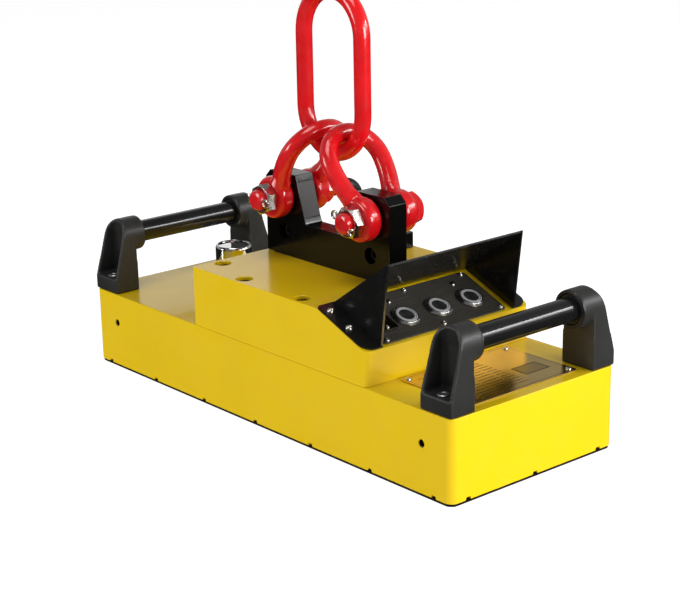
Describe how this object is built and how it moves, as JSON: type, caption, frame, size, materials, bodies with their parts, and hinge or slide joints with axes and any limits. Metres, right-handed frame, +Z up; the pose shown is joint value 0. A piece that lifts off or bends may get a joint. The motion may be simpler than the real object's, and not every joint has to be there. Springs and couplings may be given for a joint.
{
  "type": "battery lifting magnet",
  "caption": "Battery-powered lifting magnet: yellow housing, sloped control panel with sun hood, grip handles, lifting lug, bow shackles and a master link.",
  "frame": {"origin": "centre of the underside, on the surface the magnet stands on", "axes": "+X along the housing towards the control panel, +Y to the far long side, +Z up"},
  "size_m": [0.6, 0.23, 0.4593],
  "materials": {
    "yellow_powder_coat": "gloss powder coat",
    "red_enamel": "gloss enamel over forged steel",
    "gloss_black_paint": "gloss paint",
    "satin_black_paint": "satin powder coat",
    "charcoal_moulding": "fine moulded grain",
    "black_tube": "gloss sleeve",
    "zinc_plate": "bright zinc plate",
    "chrome_plate": "polished chrome",
    "panel_film": "dark brushed film",
    "nameplate_bronze": "polished, tinted metal",
    "machined_steel": "machined",
    "copper_winding": "varnished winding",
    "lamp_lens": "clear moulded lens",
    "board_laminate": "coated circuit board",
    "battery_case": "shrink sleeve",
    "black_steel": "blackened steel"
  },
  "bodies": {
    "magnet_body": {"lower_housing": "yellow_powder_coat", "upper_housing": "yellow_powder_coat", "base_plate": "black_steel", "magnet_core_1": "black_steel", "magnet_core_2": "black_steel", "magnet_core_3": "black_steel", "leg_screw_front_right": "black_steel", "leg_screw_rear_right": "black_steel", "leg_screw_front_left": "black_steel", "leg_screw_rear_left": "black_steel", "lug_cross_bolt_left": "black_steel", "lug_cross_bolt_right": "black_steel", "pole_shoe_1": "machined_steel", "pole_shoe_2": "machined_steel", "pole_shoe_3": "machined_steel", "yoke_plate": "machined_steel", "lug_bolt_left": "machined_steel", "lug_bolt_right": "machined_steel", "switching_coil_1": "copper_winding", "switching_coil_2": "copper_winding", "switching_coil_3": "copper_winding", "battery_pack": "battery_case", "controller_board": "board_laminate", "control_hood": "satin_black_paint", "rear_rest_arm": "satin_black_paint", "hood_screw_front_1": "zinc_plate", "hood_screw_rear_1": "zinc_plate", "hood_screw_front_2": "zinc_plate", "hood_screw_rear_2": "zinc_plate", "control_panel": "panel_film", "battery_gauge": "panel_film", "button_ring_1": "chrome_plate", "button_ring_2": "chrome_plate", "button_ring_3": "chrome_plate", "charging_socket": "chrome_plate", "indicator_lamp_1": "lamp_lens", "indicator_lamp_2": "lamp_lens", "lifting_lug": "gloss_black_paint", "rear_stop_block": "gloss_black_paint", "handle_leg_front_right": "charcoal_moulding", "handle_leg_rear_right": "charcoal_moulding", "handle_leg_front_left": "charcoal_moulding", "handle_leg_rear_left": "charcoal_moulding", "grip_tube_right": "black_tube", "grip_tube_left": "black_tube", "name_plate": "nameplate_bronze"},
    "shackle_left": {"shackle_bow_left": "red_enamel", "shackle_pin_left": "red_enamel", "shackle_nut_left": "zinc_plate", "cotter_pin_left": "zinc_plate"},
    "shackle_right": {"shackle_bow_right": "red_enamel", "shackle_pin_right": "red_enamel", "shackle_nut_right": "zinc_plate", "cotter_pin_right": "zinc_plate"},
    "master_link": {"master_link": "red_enamel"},
    "push_button_1": {"push_button_1": "machined_steel"},
    "push_button_2": {"push_button_2": "machined_steel"},
    "push_button_3": {"push_button_3": "machined_steel"},
    "charging_cap": {"charging_cap": "chrome_plate"}
  },
  "joints": [
    {"name": "shackle_left_swing", "type": "hinge", "parent": "magnet_body", "child": "shackle_left", "pos_m": [-0.0705, 0.0025, 0.223], "axis": [0, 1, 0], "range_deg": [0, 18]},
    {"name": "shackle_right_swing", "type": "hinge", "parent": "magnet_body", "child": "shackle_right", "pos_m": [0.0725, 0.0025, 0.223], "axis": [0, 1, 0], "range_deg": [0, 18]},
    {"name": "master_link_swing", "type": "hinge", "parent": "shackle_left", "child": "master_link", "pos_m": [-0.01465, 0.0025, 0.30328], "axis": [0, 1, 0], "range_deg": [-18, 0]},
    {"name": "button_1_press", "type": "slide", "parent": "magnet_body", "child": "push_button_1", "axis": [-0.3714, 0, -0.9285], "range_m": [0, 0.002], "stiffness_N_per_m": 900},
    {"name": "button_2_press", "type": "slide", "parent": "magnet_body", "child": "push_button_2", "axis": [-0.3714, 0, -0.9285], "range_m": [0, 0.002], "stiffness_N_per_m": 900},
    {"name": "button_3_press", "type": "slide", "parent": "magnet_body", "child": "push_button_3", "axis": [-0.3714, 0, -0.9285], "range_m": [0, 0.002], "stiffness_N_per_m": 900},
    {"name": "charging_cap_lift", "type": "slide", "parent": "magnet_body", "child": "charging_cap", "axis": [0, 0, 1], "range_m": [0, 0.014]}
  ],
  "couplings": [
    {"joint": "shackle_right_swing", "follows": "shackle_left_swing", "ratio": 1},
    {"joint": "master_link_swing", "follows": "shackle_left_swing", "ratio": -1}
  ]
}
